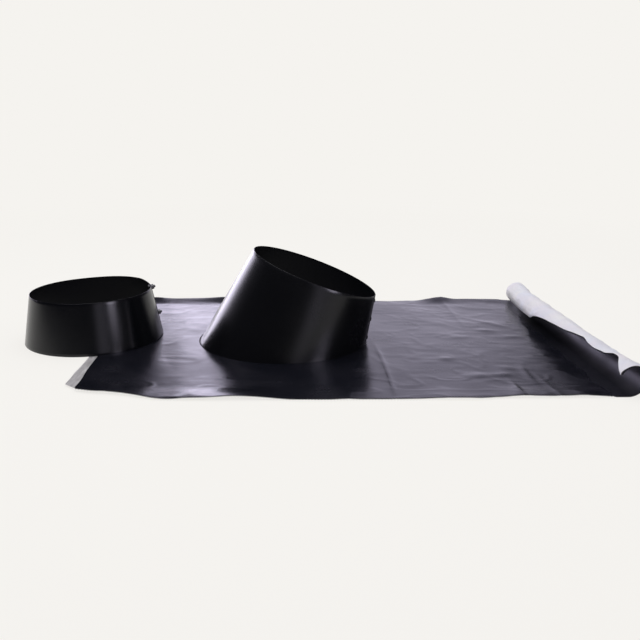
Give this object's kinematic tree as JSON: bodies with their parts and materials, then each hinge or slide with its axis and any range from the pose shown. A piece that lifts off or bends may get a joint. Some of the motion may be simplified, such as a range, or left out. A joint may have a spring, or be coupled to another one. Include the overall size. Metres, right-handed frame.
{
  "type": "pipe flashing boot",
  "caption": "Leaning steel cone on a pliable roof apron, which seals round a pipe, with the loose storm collar for the pipe.",
  "frame": {"origin": "where the pipe's axis meets the roof plane, at the underside of the cone's flange", "axes": "+X up the roof along the apron, +Y across the roof, +Z the roof's normal; the pipe leans towards +X"},
  "size_m": [1.1958, 0.7, 0.2025],
  "materials": {
    "cone_steel": "satin black powder coat",
    "collar_steel": "satin black powder coat",
    "rivet_steel": "black, worn bright on the crown",
    "apron_rubber": "black pliable sheet, half gloss, creased",
    "butyl": "tacky black butyl",
    "liner_grey": "thin grey release film",
    "liner_white": "white release paper, bare",
    "fastener_steel": "stainless, dull"
  },
  "bodies": {
    "root": {"cone_shell": "cone_steel", "cone_flange": "cone_steel", "seam_rivets": "rivet_steel", "flange_sealant": "butyl", "apron": "apron_rubber", "butyl_strip_lower": "butyl", "release_liner_lower": "liner_grey", "butyl_strip_upper": "butyl", "release_liner_upper": "liner_white", "storm_collar": "collar_steel", "collar_screw_upper": "fastener_steel", "collar_screw_lower": "fastener_steel", "collar_washer_upper": "fastener_steel", "collar_washer_lower": "fastener_steel", "collar_nut_upper": "fastener_steel", "collar_nut_lower": "fastener_steel"}
  },
  "joints": []
}
